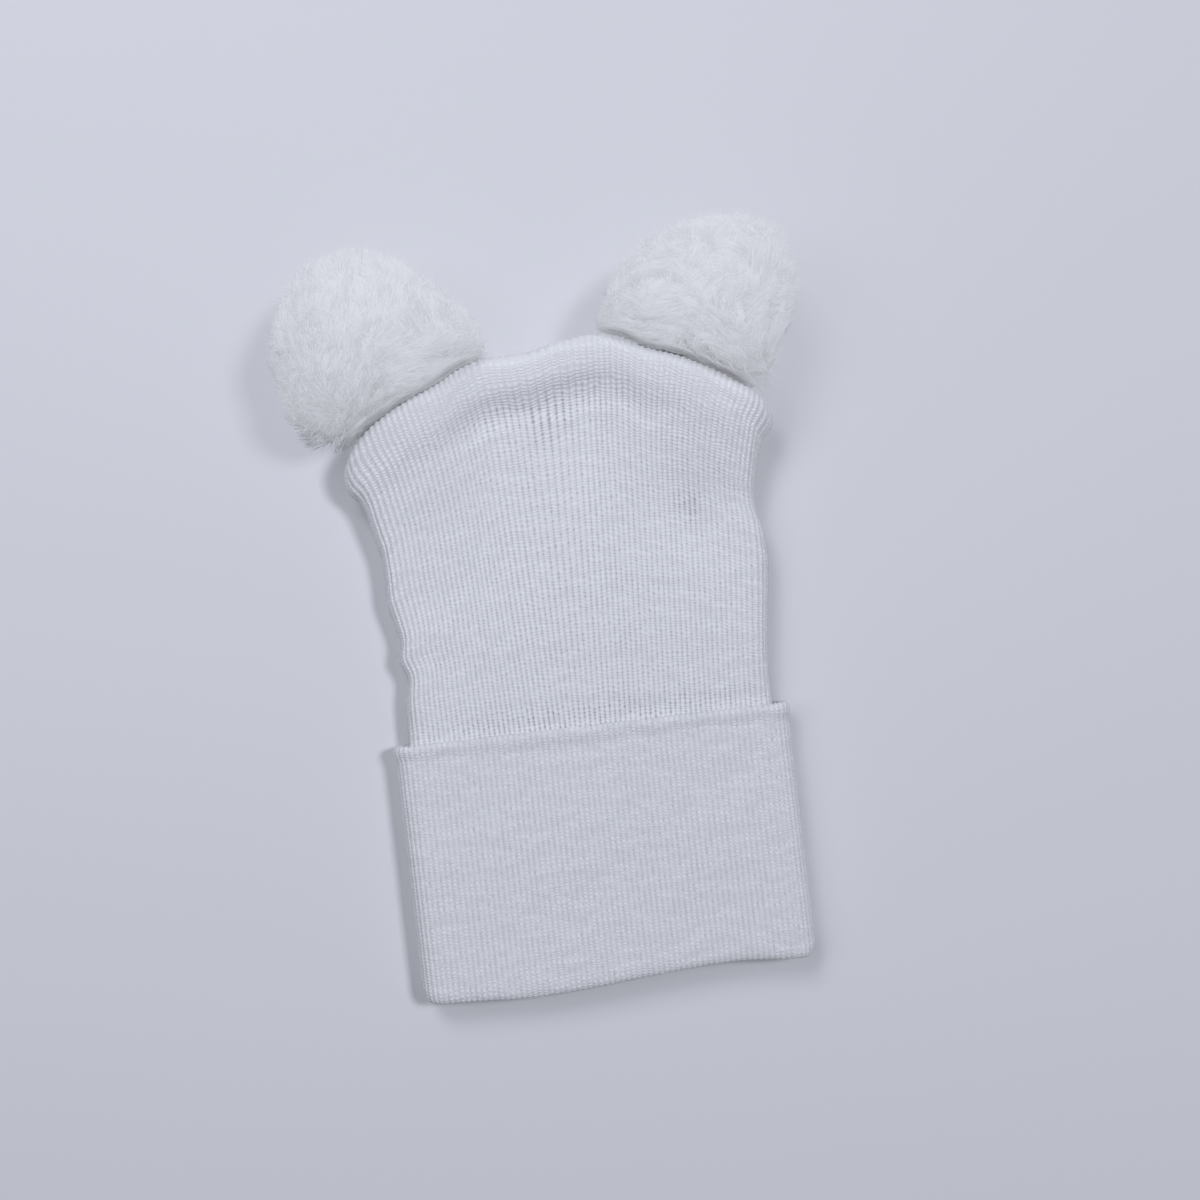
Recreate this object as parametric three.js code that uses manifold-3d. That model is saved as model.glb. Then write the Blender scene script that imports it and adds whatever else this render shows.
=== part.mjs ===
// Knitted baby hat with two pompom ears, laid flat on its back, in millimetres.
// +Y runs from the face opening to the top of the crown, +Z away from the table, -X is the left ear.
import * as THREE from "three";
import { mergeVertices } from "three/addons/utils/BufferGeometryUtils.js";
import Module from "manifold-3d";

// Knitted tube
const TUBE_WIDTH = 118; // across the flattened tube inside the cuff
const TUBE_THICKNESS = 8.8; // over both walls inside the cuff
const KNIT_WALL = 1.6;
const CROWN_RISE = 119; // from the cuff's top edge to the highest point of the top edge
const CROWN_PUFF = 13; // over both walls halfway up the crown
const CROWN_ROUNDING = 6; // depth over which the crown's side edges round over
const TOP_ROUNDING = 5; // depth over which the top edge rounds over
const TOP_ZONE = 20; // the depth below the top edge that the roll and its valley take
const VALLEY_DEPTH = 2.4; // of the dip below the rolled top edge
const EAR_LIFT = 13; // how far the ears hold the top edge's underside off the table

// Turned-up cuff
const CUFF_HEIGHT = 80;
const CUFF_WALL = 1.9;
const CUFF_ROLL = 3.4; // height of the doubled roll along the cuff's top edge
const ROLL_SWELL = 0.7; // how far that roll stands out of the cuff
const HEM_TURN = 4; // height of the rounded turn at the face opening
const CLEARANCE = 0.3; // between pieces that touch

// Pompom ears
const EAR_RADIUS = 29;
const EAR_HEIGHT = 48;
const EAR_STAND_OFF = 22.5; // from the crown's slanted edge to the ear's middle
const LOCK_LENGTH = 9;
const LOCK_WIDTH = 14;
const LOCK_ROOT = 4; // how deep a lock is rooted in the ear

// Mesh counts
const RIM_STEPS = 3; // columns round each side edge, and rows over the top edge
const FLAT_COLUMNS = 15;
const BODY_ROWS = 11;
const CUFF_ROWS = 5;
const LOCKS = 50;
const LOCK_SIDES = 5;

// The crown's side edges: along is a share of the edge from the cuff to the corner,
// left and right are shares of half the tube's width.
const SIDE_EDGES = [
  { along: -1.0, left: 1.0, right: 1.0 },
  { along: -0.08, left: 1.0, right: 1.0 },
  { along: 0.0, left: 0.966, right: 0.963 },
  { along: 0.08, left: 0.959, right: 0.964 },
  { along: 0.15, left: 0.952, right: 0.968 },
  { along: 0.23, left: 0.929, right: 0.979 },
  { along: 0.3, left: 0.965, right: 0.992 },
  { along: 0.36, left: 0.946, right: 1.005 },
  { along: 0.43, left: 0.966, right: 1.017 },
  { along: 0.51, left: 0.992, right: 1.03 },
  { along: 0.6, left: 0.988, right: 1.025 },
  { along: 0.67, left: 0.99, right: 0.999 },
  { along: 0.72, left: 1.008, right: 0.994 },
  { along: 0.78, left: 1.027, right: 1.009 },
  { along: 0.82, left: 1.035, right: 1.02 },
  { along: 0.87, left: 1.06, right: 1.037 },
  { along: 0.91, left: 1.11, right: 1.055 },
  { along: 0.94, left: 1.126, right: 1.1 },
  { along: 0.97, left: 1.128, right: 1.125 },
  { along: 1.0, left: 1.116, right: 1.128 },
];

// The crown's top edge from corner to corner: x is a share of half the tube's width,
// rise a share of the crown's rise.
const TOP_EDGE = [
  { across: 0.0, x: -1.116, rise: 0.728 },
  { across: 0.04, x: -1.058, rise: 0.775 },
  { across: 0.09, x: -0.945, rise: 0.825 },
  { across: 0.17, x: -0.768, rise: 0.873 },
  { across: 0.25, x: -0.592, rise: 0.91 },
  { across: 0.33, x: -0.434, rise: 0.951 },
  { across: 0.38, x: -0.303, rise: 0.968 },
  { across: 0.44, x: -0.135, rise: 0.97 },
  { across: 0.5, x: 0.068, rise: 0.99 },
  { across: 0.56, x: 0.235, rise: 1.0 },
  { across: 0.62, x: 0.37, rise: 0.988 },
  { across: 0.68, x: 0.508, rise: 0.949 },
  { across: 0.75, x: 0.656, rise: 0.92 },
  { across: 0.82, x: 0.803, rise: 0.882 },
  { across: 0.9, x: 0.97, rise: 0.83 },
  { across: 0.96, x: 1.078, rise: 0.788 },
  { across: 1.0, x: 1.128, rise: 0.74 },
];

// How the flattened crown lies: along is a share of its length, puff a share of the way from the
// tube's thickness to the crown's, seat a share of the cuff's own wall under it, lift a share of the ears' lift.
const CROWN_LIE = [
  { along: -0.2, puff: 0.0, seat: 1.0, lift: 0.0 },
  { along: 0.0, puff: 0.0, seat: 1.0, lift: 0.0 },
  { along: 0.08, puff: 0.45, seat: 0.45, lift: 0.0 },
  { along: 0.16, puff: 0.75, seat: 0.1, lift: 0.0 },
  { along: 0.25, puff: 0.95, seat: 0.0, lift: 0.0 },
  { along: 0.45, puff: 1.0, seat: 0.0, lift: 0.0 },
  { along: 0.6, puff: 0.95, seat: 0.0, lift: 0.08 },
  { along: 0.75, puff: 0.8, seat: 0.0, lift: 0.3 },
  { along: 0.88, puff: 0.6, seat: 0.0, lift: 0.68 },
  { along: 1.0, puff: 0.5, seat: 0.0, lift: 1.0 },
];

// The share of that lift from corner to corner: most where an ear holds the slanted edge.
const LIFT_ACROSS = [
  { across: 0.0, share: 0.45 },
  { across: 0.1, share: 0.9 },
  { across: 0.2, share: 1.0 },
  { across: 0.35, share: 0.85 },
  { across: 0.52, share: 0.7 },
  { across: 0.68, share: 0.85 },
  { across: 0.82, share: 1.0 },
  { across: 0.91, share: 0.9 },
  { across: 1.0, share: 0.45 },
];

// Dips below the rolled top edge: depth is a share of the top zone, dip a share of the valley's depth.
const TOP_VALLEY = [
  { depth: 0.0, dip: 0.0 },
  { depth: 0.3, dip: -0.15 },
  { depth: 0.48, dip: 0.5 },
  { depth: 0.64, dip: 1.0 },
  { depth: 0.82, dip: 0.55 },
  { depth: 1.0, dip: 0.12 },
];

// Soft dents and puffs of the front: across and along are shares, wide and long the radii as shares of
// half the tube's width, dip a share of the valley's depth.
const FRONT_DENTS = [
  { across: 0.79, along: 0.56, wide: 0.22, long: 0.2, dip: 0.5 },
  { across: 0.53, along: 0.76, wide: 0.12, long: 0.3, dip: 0.5 },
  { across: 0.2, along: 0.8, wide: 0.3, long: 0.25, dip: -0.45 },
  { across: 0.84, along: 0.8, wide: 0.25, long: 0.22, dip: -0.45 },
  { across: 0.08, along: 0.24, wide: 0.2, long: 0.12, dip: 0.35 },
  { across: 0.1, along: 0.42, wide: 0.3, long: 0.14, dip: 0.3 },
  { across: 0.94, along: 0.66, wide: 0.25, long: 0.16, dip: 0.4 },
];

// The hem along the face opening: drop is a share of the hem turn's height.
const HEM_WAVE = [
  { across: 0.0, drop: 0.0 },
  { across: 0.12, drop: 0.12 },
  { across: 0.28, drop: 0.35 },
  { across: 0.45, drop: 0.1 },
  { across: 0.6, drop: -0.3 },
  { across: 0.8, drop: -0.62 },
  { across: 0.92, drop: -0.35 },
  { across: 1.0, drop: -0.2 },
];

// Each ear's outline seen from above: turn in degrees from +X, reach a share of the ear's radius.
const EARS = [
  {
    name: "ear_left",
    seat: 0.193, // where on the top edge it is bound, from corner to corner
    standOff: 0.87, // share of the ears' stand-off
    swirl: 0.5,
    lean: 0.35,
    seed: 3,
    outline: [
      { turn: 0, reach: 1.13 },
      { turn: 10, reach: 1.03 },
      { turn: 24, reach: 0.9 },
      { turn: 48, reach: 0.84 },
      { turn: 70, reach: 0.88 },
      { turn: 95, reach: 0.955 },
      { turn: 125, reach: 0.985 },
      { turn: 155, reach: 0.99 },
      { turn: 178, reach: 1.055 },
      { turn: 200, reach: 1.055 },
      { turn: 222, reach: 1.21 },
      { turn: 238, reach: 1.22 },
      { turn: 252, reach: 1.06 },
      { turn: 275, reach: 0.78 },
      { turn: 297, reach: 0.74 },
      { turn: 320, reach: 0.82 },
      { turn: 334, reach: 1.02 },
      { turn: 347, reach: 1.19 },
      { turn: 360, reach: 1.13 },
    ],
  },
  {
    name: "ear_right",
    seat: 0.768,
    standOff: 0.742,
    swirl: -0.6,
    lean: -0.25,
    seed: 11,
    outline: [
      { turn: 0, reach: 0.965 },
      { turn: 20, reach: 1.0 },
      { turn: 34, reach: 1.04 },
      { turn: 48, reach: 1.015 },
      { turn: 62, reach: 0.94 },
      { turn: 78, reach: 0.855 },
      { turn: 104, reach: 0.81 },
      { turn: 137, reach: 0.855 },
      { turn: 160, reach: 0.955 },
      { turn: 176, reach: 1.065 },
      { turn: 188, reach: 1.13 },
      { turn: 198, reach: 0.94 },
      { turn: 215, reach: 0.74 },
      { turn: 239, reach: 0.66 },
      { turn: 265, reach: 0.72 },
      { turn: 286, reach: 0.96 },
      { turn: 302, reach: 1.1 },
      { turn: 314, reach: 0.965 },
      { turn: 326, reach: 0.89 },
      { turn: 342, reach: 0.925 },
      { turn: 360, reach: 0.965 },
    ],
  },
];

// Sizes that follow from those above
const halfTube = TUBE_WIDTH / 2;
const cuffHalfWidth = halfTube + CLEARANCE + CUFF_WALL;
const cuffThickness = TUBE_THICKNESS + 2 * (CLEARANCE + CUFF_WALL);
const cuffSeat = CUFF_WALL + CLEARANCE; // the tube's underside over the table, inside the cuff
const hemInset = cuffSeat + KNIT_WALL; // from the cuff's outer face to the tube's inner face
const tubeEnd = HEM_TURN + CLEARANCE - CUFF_HEIGHT; // the tube's lower end, from the cuff's top edge

const wasm = await Module();
wasm.setup();

// The value in a table's column at a place along its key column, with straight runs between rows.
function lookUp(table, key, at, column) {
  const last = table.length - 1;
  if (at <= table[0][key]) return table[0][column];
  if (at >= table[last][key]) return table[last][column];
  const next = table.findIndex((row) => row[key] >= at);
  const a = table[next - 1];
  const b = table[next];
  const share = (at - a[key]) / (b[key] - a[key]);
  return a[column] + share * (b[column] - a[column]);
}

// A closed geometry as a solid that can be cut and joined.
function toSolid(geometry) {
  const bare = new THREE.BufferGeometry();
  bare.setAttribute("position", geometry.getAttribute("position").clone());
  bare.setIndex(geometry.getIndex());
  const merged = mergeVertices(bare, 1e-4);
  const index = merged.getIndex().array;
  const faces = [];
  for (let i = 0; i < index.length; i += 3) {
    const [a, b, c] = [index[i], index[i + 1], index[i + 2]];
    if (a !== b && b !== c && c !== a) faces.push(a, b, c);
  }
  const mesh = new wasm.Mesh({
    numProp: 3,
    vertProperties: merged.getAttribute("position").array,
    triVerts: new Uint32Array(faces),
  });
  return new wasm.Manifold(mesh);
}

// A solid's largest body as a geometry.
function toGeometry(solid) {
  const bodies = solid.decompose().sort((a, b) => b.volume() - a.volume());
  const mesh = bodies[0].getMesh();
  const geometry = new THREE.BufferGeometry();
  geometry.setAttribute("position", new THREE.BufferAttribute(mesh.vertProperties, 3));
  geometry.setIndex(new THREE.BufferAttribute(mesh.triVerts, 1));
  geometry.computeVertexNormals();
  return geometry;
}

// Columns across the flattened tube, left to right: those near a side edge keep a fixed distance
// to it, given by the turn round the edge, and the others share out what lies between.
const columns = [];
for (let i = 0; i < RIM_STEPS; i += 1) {
  columns.push({ edge: "left", turn: (i / RIM_STEPS) * (Math.PI / 2) });
}
for (let i = 0; i < FLAT_COLUMNS; i += 1) {
  columns.push({ edge: "none", share: i / (FLAT_COLUMNS - 1), turn: Math.PI / 2 });
}
for (let i = RIM_STEPS - 1; i >= 0; i -= 1) {
  columns.push({ edge: "right", turn: (i / RIM_STEPS) * (Math.PI / 2) });
}
const AROUND = 2 * (columns.length - 1);

// A ring's column and side, counted round the tube: the front from left to right, then the back.
function columnOf(step) {
  const lastColumn = columns.length - 1;
  const onFront = step <= lastColumn;
  return {
    column: columns[onFront ? step : AROUND - step],
    side: onFront ? 1 : -1,
  };
}

// A ring of knit pressed flat: a lathe form whose points are then laid by place(step, pointIndex).
function pressedRing(profile, place) {
  const ring = new THREE.LatheGeometry(profile, AROUND);
  const position = ring.getAttribute("position");
  const count = profile.length;
  const laid = new THREE.Vector3();
  for (let step = 0; step <= AROUND; step += 1) {
    for (let point = 0; point < count; point += 1) {
      place(step % AROUND, point, laid);
      position.setXYZ(step * count + point, laid.x, laid.y, laid.z);
    }
  }
  return ring;
}

// The distance in from a side edge, and the share of full thickness left there.
function overEdge(turn, inset, rounding) {
  return {
    depth: inset + (rounding - inset) * (1 - Math.cos(turn)),
    share: Math.sin(turn),
  };
}

// The plan of the crown: a patch between its four edges, at shares across and along.
function crownPlan(across, along) {
  const cornerLeft = TOP_EDGE[0];
  const cornerRight = TOP_EDGE[TOP_EDGE.length - 1];
  const leftX = -halfTube * lookUp(SIDE_EDGES, "along", along, "left");
  const rightX = halfTube * lookUp(SIDE_EDGES, "along", along, "right");
  const mouthLeft = -halfTube * lookUp(SIDE_EDGES, "along", 0, "left");
  const mouthRight = halfTube * lookUp(SIDE_EDGES, "along", 0, "right");
  const topX = halfTube * lookUp(TOP_EDGE, "across", across, "x");
  const topY = CROWN_RISE * lookUp(TOP_EDGE, "across", across, "rise");
  if (along <= 0) {
    return { x: leftX + (rightX - leftX) * across, y: along * topY };
  }
  const sides = leftX + (rightX - leftX) * across;
  const ends = (mouthLeft + (mouthRight - mouthLeft) * across) * (1 - along) + topX * along;
  const cornersTop = halfTube * (cornerLeft.x + (cornerRight.x - cornerLeft.x) * across);
  const cornersMouth = mouthLeft + (mouthRight - mouthLeft) * across;
  const corners = cornersMouth * (1 - along) + cornersTop * along;
  return { x: sides + ends - corners, y: along * topY };
}

// How far the wavy hem carries the knit down at a place inside the cuff.
function hemDrop(x, y) {
  const across = (x / cuffHalfWidth + 1) / 2;
  const fade = THREE.MathUtils.clamp((y + CUFF_ROLL) / (HEM_TURN - CUFF_HEIGHT), 0, 1);
  return lookUp(HEM_WAVE, "across", across, "drop") * HEM_TURN * fade ** 4;
}

function dentAt(across, along) {
  let dip = 0;
  for (const dent of FRONT_DENTS) {
    const dx = ((across - dent.across) * 2) / dent.wide;
    const dy = ((along - dent.along) * CROWN_RISE) / halfTube / dent.long;
    dip += dent.dip * Math.exp(-(dx * dx + dy * dy));
  }
  return dip * VALLEY_DEPTH;
}

// Rows of the crown: below the cuff's top edge, up the body, through the valley and over the top edge.
function crownRows(inset, start) {
  const rows = [{ zone: "cuff", y: start, closed: true }];
  for (let i = 0; i < CUFF_ROWS; i += 1) {
    rows.push({ zone: "cuff", y: start * (1 - i / CUFF_ROWS) });
  }
  for (let i = 0; i <= BODY_ROWS; i += 1) {
    rows.push({ zone: "body", share: i / BODY_ROWS });
  }
  for (const row of TOP_VALLEY.slice(2, -1).reverse()) {
    rows.push({ zone: "top", depth: row.depth * TOP_ZONE, turn: Math.PI / 2 });
  }
  for (let i = RIM_STEPS; i >= 0; i -= 1) {
    const turn = (i / RIM_STEPS) * (Math.PI / 2);
    rows.push({ zone: "top", depth: overEdge(turn, inset, TOP_ROUNDING).depth, turn });
  }
  return rows;
}

// A skin of the crown as a closed solid, inset from the outer face, from start up to the top edge.
function crownSkin(inset, start) {
  const rows = crownRows(inset, start);
  const lay = (step, rowIndex, out) => {
    const { column, side } = columnOf(step);
    const row = rows[rowIndex];
    const rim = column.edge === "none"
      ? { depth: CROWN_ROUNDING, share: 1 }
      : overEdge(column.turn, inset, CROWN_ROUNDING);
    let across = 0.5;
    let along = 0;
    let plan = null;
    // Two passes settle the share across, because the width changes up the crown.
    for (let pass = 0; pass < 2; pass += 1) {
      const topY = CROWN_RISE * lookUp(TOP_EDGE, "across", across, "rise");
      if (row.zone === "cuff") along = row.y / topY;
      if (row.zone === "body") along = row.share * (1 - TOP_ZONE / topY);
      if (row.zone === "top") along = 1 - row.depth / topY;
      const width = crownPlan(1, along).x - crownPlan(0, along).x;
      const rimShare = rim.depth / width;
      if (column.edge === "left") across = rimShare;
      if (column.edge === "right") across = 1 - rimShare;
      if (column.edge === "none") across = rimShare + column.share * (1 - 2 * rimShare);
      plan = crownPlan(across, along);
    }
    const puff = lookUp(CROWN_LIE, "along", along, "puff");
    const seat = lookUp(CROWN_LIE, "along", along, "seat") * cuffSeat;
    const lift = lookUp(CROWN_LIE, "along", along, "lift");
    const liftHere = EAR_LIFT * lift * lookUp(LIFT_ACROSS, "across", across, "share");
    const thickness = TUBE_THICKNESS + (CROWN_PUFF - TUBE_THICKNESS) * puff;
    const overTop = row.zone === "top" ? Math.sin(row.turn) : 1;
    const half = row.closed ? 0 : (thickness / 2 - inset) * rim.share * overTop;
    let dip = 0;
    if (along > 0 && side > 0) {
      const depth = row.zone === "top" ? row.depth / TOP_ZONE : 1;
      const flat = rim.share * overTop;
      dip = lookUp(TOP_VALLEY, "depth", depth, "dip") * VALLEY_DEPTH * flat;
      if (row.zone === "body") dip *= row.share ** 4;
      dip += dentAt(across, along) * flat;
    }
    const y = plan.y - hemDrop(plan.x, plan.y);
    out.set(plan.x, y, seat + liftHere + thickness / 2 + side * half - dip);
  };
  const profile = rows.map((row, i) => new THREE.Vector2(1, i));
  return toSolid(pressedRing(profile, lay));
}

// The turned-up cuff: a closed section of doubled knit carried round the tube, with a rolled fold at
// its top edge and a rounded turn at the face opening that closes over the tube's end.
function cuffGeometry() {
  const section = [];
  const hemSteps = 6;
  for (let i = 0; i <= hemSteps; i += 1) {
    const turn = (i / hemSteps) * Math.PI;
    section.push({
      inset: (hemInset / 2) * (1 + Math.cos(turn)),
      y: HEM_TURN * (1 - Math.sin(turn)) - CUFF_HEIGHT,
      hem: true,
    });
  }
  const wallStart = HEM_TURN - CUFF_HEIGHT;
  for (let i = 1; i < CUFF_ROWS; i += 1) {
    section.push({ inset: 0, y: wallStart + ((-CUFF_ROLL - wallStart) * i) / CUFF_ROWS });
  }
  section.push({ inset: 0, y: -CUFF_ROLL * 1.25 });
  section.push({ inset: -ROLL_SWELL * 0.8, y: -CUFF_ROLL });
  section.push({ inset: -ROLL_SWELL, y: -CUFF_ROLL * 0.55 });
  section.push({ inset: -ROLL_SWELL * 0.4, y: -CUFF_ROLL * 0.15 });
  section.push({ inset: CUFF_WALL * 0.35, y: 0 });
  section.push({ inset: CUFF_WALL * 0.8, y: -CUFF_ROLL * 0.1 });
  for (let i = 1; i < CUFF_ROWS; i += 1) {
    section.push({ inset: CUFF_WALL, y: -CUFF_ROLL / 2 + ((wallStart + CUFF_ROLL / 2) * i) / CUFF_ROWS });
  }
  section.push({ inset: CUFF_WALL, y: wallStart });
  section.push({ inset: hemInset, y: wallStart, hem: true });
  const profile = section.map((point) => new THREE.Vector2(1 - point.inset, point.y));
  const place = (step, index, out) => {
    const { column, side } = columnOf(step);
    const point = section[index % section.length];
    // The roll is pressed flat where the hat lies on it.
    const inset = side < 0 ? Math.max(point.inset, 0) : point.inset;
    const radius = cuffThickness / 2 - inset;
    const run = cuffHalfWidth - cuffThickness / 2;
    let x = 0;
    if (column.edge === "left") x = -run - radius * Math.cos(column.turn);
    if (column.edge === "right") x = run + radius * Math.cos(column.turn);
    if (column.edge === "none") x = run * (2 * column.share - 1);
    const z = cuffThickness / 2 + side * radius * Math.sin(column.turn);
    out.set(x, point.y - hemDrop(x, point.y), z);
  };
  return pressedRing(profile, place);
}

// Repeatable numbers from 0 to 1
function numbersFrom(seed) {
  let state = seed;
  return () => {
    state = (state * 16807) % 2147483647;
    return state / 2147483647;
  };
}

// A pompom ear: a ball pressed to its outline and packed with tapered locks of yarn.
function earSolid(ear) {
  const random = numbersFrom(ear.seed);
  for (let i = 0; i < 5; i += 1) random();
  const reachAt = (turn) => {
    const degrees = THREE.MathUtils.euclideanModulo(THREE.MathUtils.radToDeg(turn), 360);
    return EAR_RADIUS * lookUp(ear.outline, "turn", degrees, "reach");
  };
  const half = EAR_HEIGHT / 2;
  const skin = (direction, grow, out) => {
    const reach = reachAt(Math.atan2(direction.y, direction.x)) - LOCK_LENGTH * 0.42 + grow;
    const level = Math.sign(direction.z) * Math.abs(direction.z) ** 0.85;
    out.set(direction.x * reach, direction.y * reach, level * (half - LOCK_LENGTH * 0.3 + grow));
  };
  const ball = new THREE.SphereGeometry(1, 18, 10);
  ball.rotateX(Math.PI / 2);
  const position = ball.getAttribute("position");
  const point = new THREE.Vector3();
  const laid = new THREE.Vector3();
  for (let i = 0; i < position.count; i += 1) {
    point.fromBufferAttribute(position, i).normalize();
    skin(point, 0, laid);
    position.setXYZ(i, laid.x, laid.y, laid.z);
  }
  const locks = [toSolid(ball)];
  const root = new THREE.Vector3();
  const tip = new THREE.Vector3();
  const up = new THREE.Vector3(0, 1, 0);
  const golden = Math.PI * (3 - Math.sqrt(5));
  for (let i = 0; i < LOCKS; i += 1) {
    const level = 1 - (2 * (i + 0.5)) / LOCKS;
    const ring = Math.sqrt(1 - level * level);
    const turn = i * golden + (random() - 0.5) * 0.3;
    point.set(Math.cos(turn) * ring, Math.sin(turn) * ring, level);
    skin(point, -LOCK_ROOT, root);
    skin(point, LOCK_LENGTH * (0.38 + 0.12 * random()), tip);
    // Locks lean round the ball and sweep to one side.
    tip.x += (-point.y * ear.swirl + ear.lean) * LOCK_LENGTH * 0.55;
    tip.y += point.x * ear.swirl * LOCK_LENGTH * 0.55;
    const length = root.distanceTo(tip);
    const width = LOCK_WIDTH * (0.85 + 0.3 * random());
    const lock = new THREE.CylinderGeometry(width * 0.2, width / 2, length, LOCK_SIDES, 1);
    lock.rotateY(random() * Math.PI);
    lock.translate(0, length / 2, 0);
    const along = tip.clone().sub(root).normalize();
    lock.applyQuaternion(new THREE.Quaternion().setFromUnitVectors(up, along));
    lock.translate(root.x, root.y, root.z);
    locks.push(toSolid(lock));
  }
  return wasm.Manifold.union(locks);
}

// Where an ear sits: beyond the crown's slanted edge, square to it.
function earPlace(ear) {
  const at = (across) => crownPlan(across, 1);
  const seat = at(ear.seat);
  const before = at(ear.seat - 0.12);
  const after = at(ear.seat + 0.12);
  const edge = new THREE.Vector2(after.x - before.x, after.y - before.y).normalize();
  const standOff = EAR_STAND_OFF * ear.standOff;
  return new THREE.Vector3(
    seat.x - edge.y * standOff,
    seat.y + edge.x * standOff,
    EAR_HEIGHT / 2,
  );
}

const knitMaterial = new THREE.MeshStandardMaterial({
  name: "knit",
  color: new THREE.Color().setRGB(0.9, 0.9, 0.91, THREE.SRGBColorSpace),
  roughness: 0.9,
  metalness: 0,
});
const cuffMaterial = knitMaterial.clone();
cuffMaterial.name = "cuff_knit";
const pompomMaterial = new THREE.MeshStandardMaterial({
  name: "pompom",
  color: new THREE.Color().setRGB(0.93, 0.92, 0.92, THREE.SRGBColorSpace),
  roughness: 0.95,
  metalness: 0,
});

const hat = new THREE.Group();
hat.name = "hat";

// Crown
const crownHollow = crownSkin(KNIT_WALL, tubeEnd - KNIT_WALL);
const crown = crownSkin(0, tubeEnd).subtract(crownHollow);
const crownMesh = new THREE.Mesh(toGeometry(crown), knitMaterial);
crownMesh.name = "crown";
hat.add(crownMesh);

// Cuff
const cuffMesh = new THREE.Mesh(toGeometry(toSolid(cuffGeometry())), cuffMaterial);
cuffMesh.name = "cuff";
hat.add(cuffMesh);

// Ears, kept clear of the crown and of the table's underside
const crownRoom = crownSkin(-CLEARANCE, tubeEnd);
const under = new THREE.BoxGeometry(8 * EAR_RADIUS, 8 * EAR_RADIUS, EAR_HEIGHT);
under.translate(0, 0, -EAR_HEIGHT / 2);
for (const ear of EARS) {
  const place = earPlace(ear);
  const tableRoom = toSolid(under).translate([place.x, place.y, 0]);
  const solid = earSolid(ear).translate(place.toArray()).subtract(tableRoom).subtract(crownRoom);
  const mesh = new THREE.Mesh(toGeometry(solid), pompomMaterial.clone());
  mesh.name = ear.name;
  hat.add(mesh);
}

// The origin is on the table, under the middle of the whole hat.
const bounds = new THREE.Box3().setFromObject(hat);
const middle = bounds.getCenter(new THREE.Vector3());
hat.position.set(-middle.x, -middle.y, -bounds.min.z);
const babyHat = new THREE.Group();
babyHat.name = "baby_hat";
babyHat.add(hat);

export default babyHat;
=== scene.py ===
"""A white knitted baby hat with two pompom ears, lying on a pale table, seen from straight above."""

import math

import bmesh
import bpy
import numpy as np
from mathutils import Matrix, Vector


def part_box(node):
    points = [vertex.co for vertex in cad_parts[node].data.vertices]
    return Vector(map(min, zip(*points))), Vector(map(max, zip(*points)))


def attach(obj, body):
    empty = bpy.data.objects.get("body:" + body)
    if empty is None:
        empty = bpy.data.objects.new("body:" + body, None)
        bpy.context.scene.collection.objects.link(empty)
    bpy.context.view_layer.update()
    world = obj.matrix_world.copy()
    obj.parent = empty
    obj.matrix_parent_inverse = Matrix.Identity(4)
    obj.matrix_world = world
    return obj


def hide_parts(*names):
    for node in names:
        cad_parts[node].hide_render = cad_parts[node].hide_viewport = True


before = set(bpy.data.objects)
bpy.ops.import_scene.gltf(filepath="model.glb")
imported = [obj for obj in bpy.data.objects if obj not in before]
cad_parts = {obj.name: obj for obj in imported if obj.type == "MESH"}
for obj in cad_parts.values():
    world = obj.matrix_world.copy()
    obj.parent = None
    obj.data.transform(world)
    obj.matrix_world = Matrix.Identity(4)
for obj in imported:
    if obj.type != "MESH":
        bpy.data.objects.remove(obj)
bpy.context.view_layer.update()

# Where the hat lies.
# It is laid on its back with the face opening towards the viewer's lower edge, and every size
# below is in millimetres from the middle of the cuff's top edge, until it is placed on the table.
MM = 0.001
cuff_low, cuff_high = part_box("cuff")
hat_x = (cuff_low[0] + cuff_high[0]) / 2
hat_y = cuff_high[1]


def on_table(points):
    """Points in the hat's own millimetres, as metres on the table."""
    return np.asarray(points) * MM + np.array([hat_x, hat_y, 0.0])


# Camera, straight above the hat.
# The hat's middle line leans a little to the left in the picture, so the camera is rolled.
CAMERA_HEIGHT = 0.480
CAMERA_ABOVE = (7.3, 37.8)
CAMERA_ROLL = math.radians(6.68)
FIELD_WIDTH = 0.372
FIELD_LEVEL = 0.008
above = on_table([[*CAMERA_ABOVE, 0.0]])[0]
lens = bpy.data.cameras.new("above the hat")
lens.sensor_width = 36.0
lens.lens = lens.sensor_width * (CAMERA_HEIGHT - FIELD_LEVEL) / FIELD_WIDTH
lens.clip_start = 0.01
camera = bpy.data.objects.new("above the hat", lens)
camera.location = (above[0], above[1], CAMERA_HEIGHT)
camera.rotation_euler = (0.0, 0.0, -CAMERA_ROLL)
bpy.context.collection.objects.link(camera)
bpy.context.scene.camera = camera

# Crown.
# One fine white 1x1 rib tube in soft acrylic yarn, pressed flat and closed along the top, where it
# rolls over. It puffs up in the middle, dips below the roll, and its corners are pulled up by the ears.
HALF_TUBE = 59.0
TUBE_THICKNESS = 8.8
KNIT_WALL = 1.6
CROWN_RISE = 119.0
CROWN_PUFF = 13.0
SIDE_ROUNDING = 6.0
TOP_ROUNDING = 5.0
TOP_ZONE = 24.0
VALLEY_DEPTH = 2.4
VALLEY_MIDDLE = 0.46  # share across
VALLEY_REACH = 0.23
EAR_LIFT = 13.0
CUFF_WALL = 1.9
CLEARANCE = 0.3
CUFF_SEAT = CUFF_WALL + CLEARANCE
RIBS = 76  # on each face
COLUMNS_PER_RIB = 4
CROWN_COURSES = 112
HIDDEN_COURSES = 4
RIB_HEIGHT = 0.42
RIB_SHARPNESS = 2.2
CROWN_INSET = 0.15  # of the knit's middle surface, under the solid's

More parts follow.
